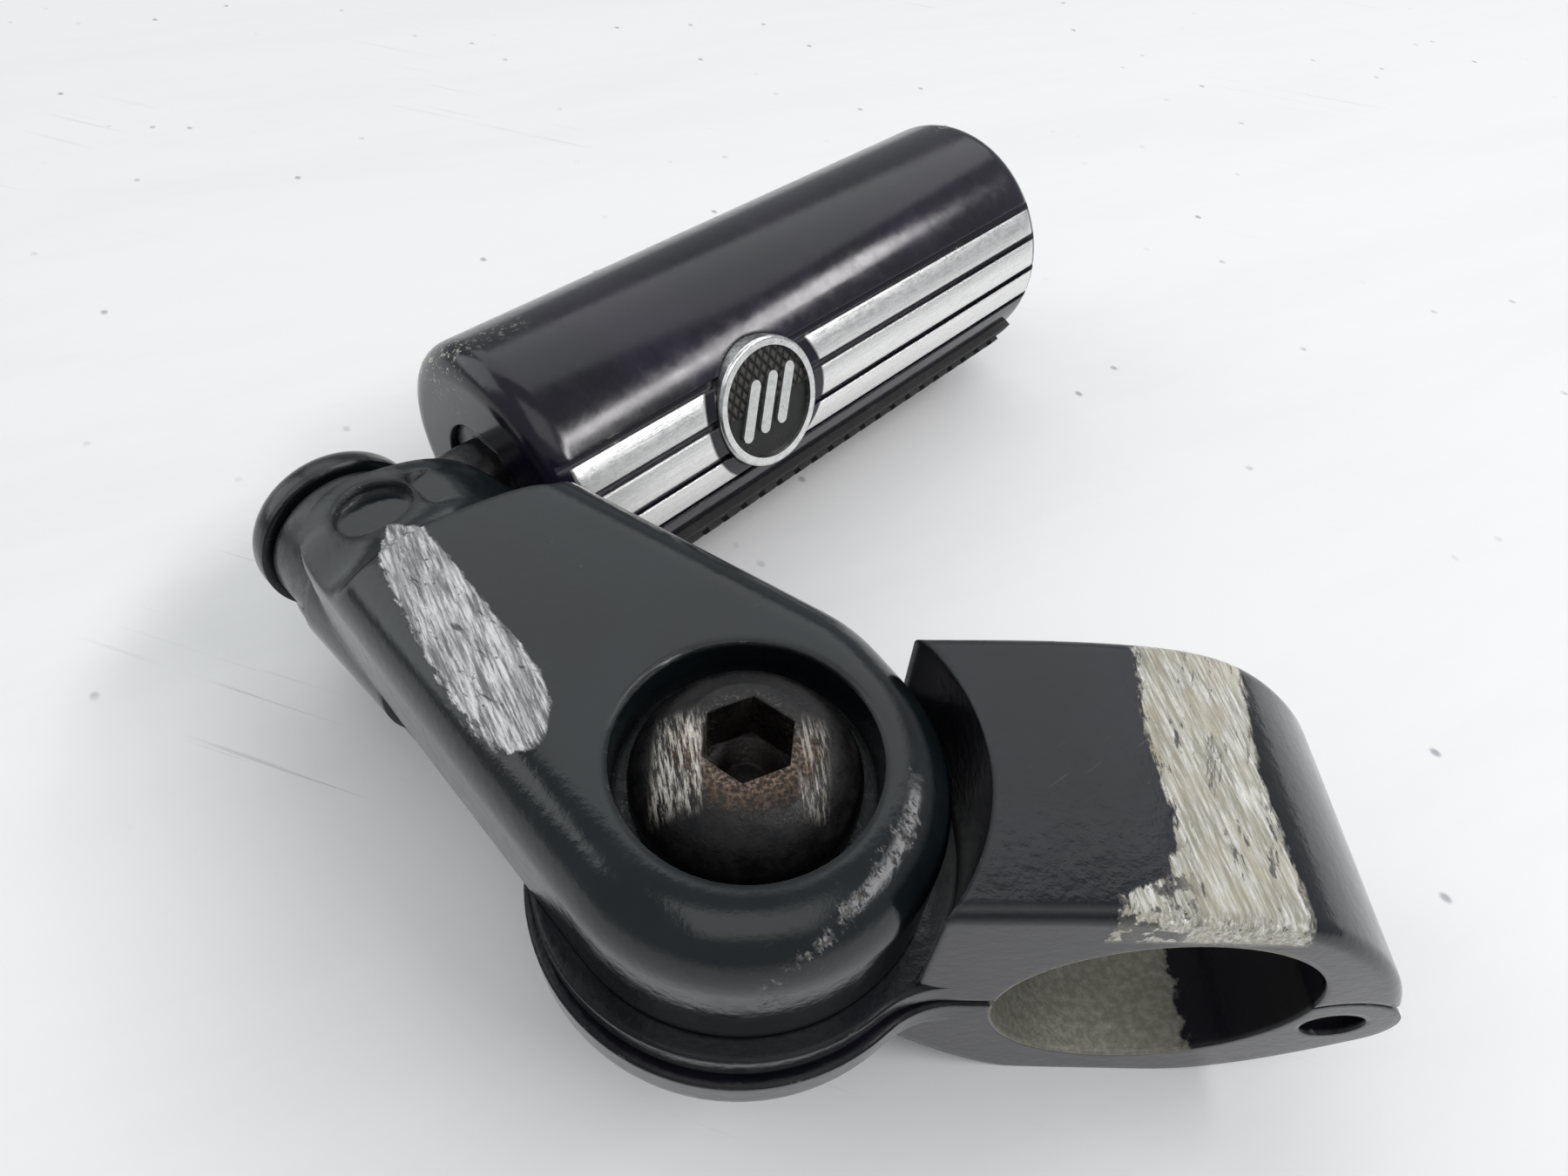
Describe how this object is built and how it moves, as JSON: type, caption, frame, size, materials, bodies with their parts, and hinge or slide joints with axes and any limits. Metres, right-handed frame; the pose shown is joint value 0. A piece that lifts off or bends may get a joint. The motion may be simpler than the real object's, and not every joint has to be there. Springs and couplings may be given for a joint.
{
  "type": "folding highway footpeg",
  "caption": "Folding motorcycle footpeg on a teardrop arm, held by one large socket screw to a hinged two-half clamp for a round engine guard tube.",
  "frame": {"origin": "centre of the clamp's tube bore", "axes": "+Z along the big socket screw towards its head, +Y along the tube bore, +X from the screw towards the clamp hinge"},
  "size_m": [0.1308, 0.1639, 0.0444],
  "materials": {
    "black_paint": "gloss",
    "peg_black": "gloss",
    "core_black": "satin",
    "screw_black": "satin",
    "pin_steel": "satin",
    "rubber": "matt",
    "bright_trim": "bright",
    "bright_bars": "bright",
    "insert_black": "matt"
  },
  "bodies": {
    "clamp": {"clamp_upper_half": "black_paint", "clamp_hinge_pin": "pin_steel"},
    "lower_jaw": {"clamp_lower_half": "black_paint"},
    "socket_screw": {"clamp_screw": "screw_black"},
    "arm": {"clevis_arm": "black_paint", "pivot_pin": "pin_steel", "pivot_retaining_ring": "pin_steel"},
    "peg": {"peg_core": "core_black", "peg_body": "peg_black", "rubber_pad": "rubber", "medallion_bezel": "bright_trim", "medallion_insert": "insert_black", "medallion_bars": "bright_bars", "peg_end_washer": "pin_steel", "peg_end_screw": "screw_black"}
  },
  "joints": [
    {"name": "screw_back_out", "type": "slide", "parent": "clamp", "child": "socket_screw", "axis": [0, 0, 1], "range_m": [0, 0.014]},
    {"name": "clamp_open", "type": "hinge", "parent": "clamp", "child": "lower_jaw", "pos_m": [0.0202, 0, -0.0043], "axis": [0, -1, 0], "range_deg": [0, 35]},
    {"name": "arm_swing", "type": "hinge", "parent": "clamp", "child": "arm", "pos_m": [-0.041, 0, 0.012], "axis": [0, 0, 1], "range_deg": [-24, 80]},
    {"name": "peg_fold", "type": "hinge", "parent": "arm", "child": "peg", "pos_m": [-0.0907, 0.03966, 0.001], "axis": [0.7193, -0.6947, 0], "range_deg": [0, 90]}
  ],
  "couplings": [
    {"joint": "clamp_open", "follows": "screw_back_out", "rad_per_m": 43.6}
  ]
}
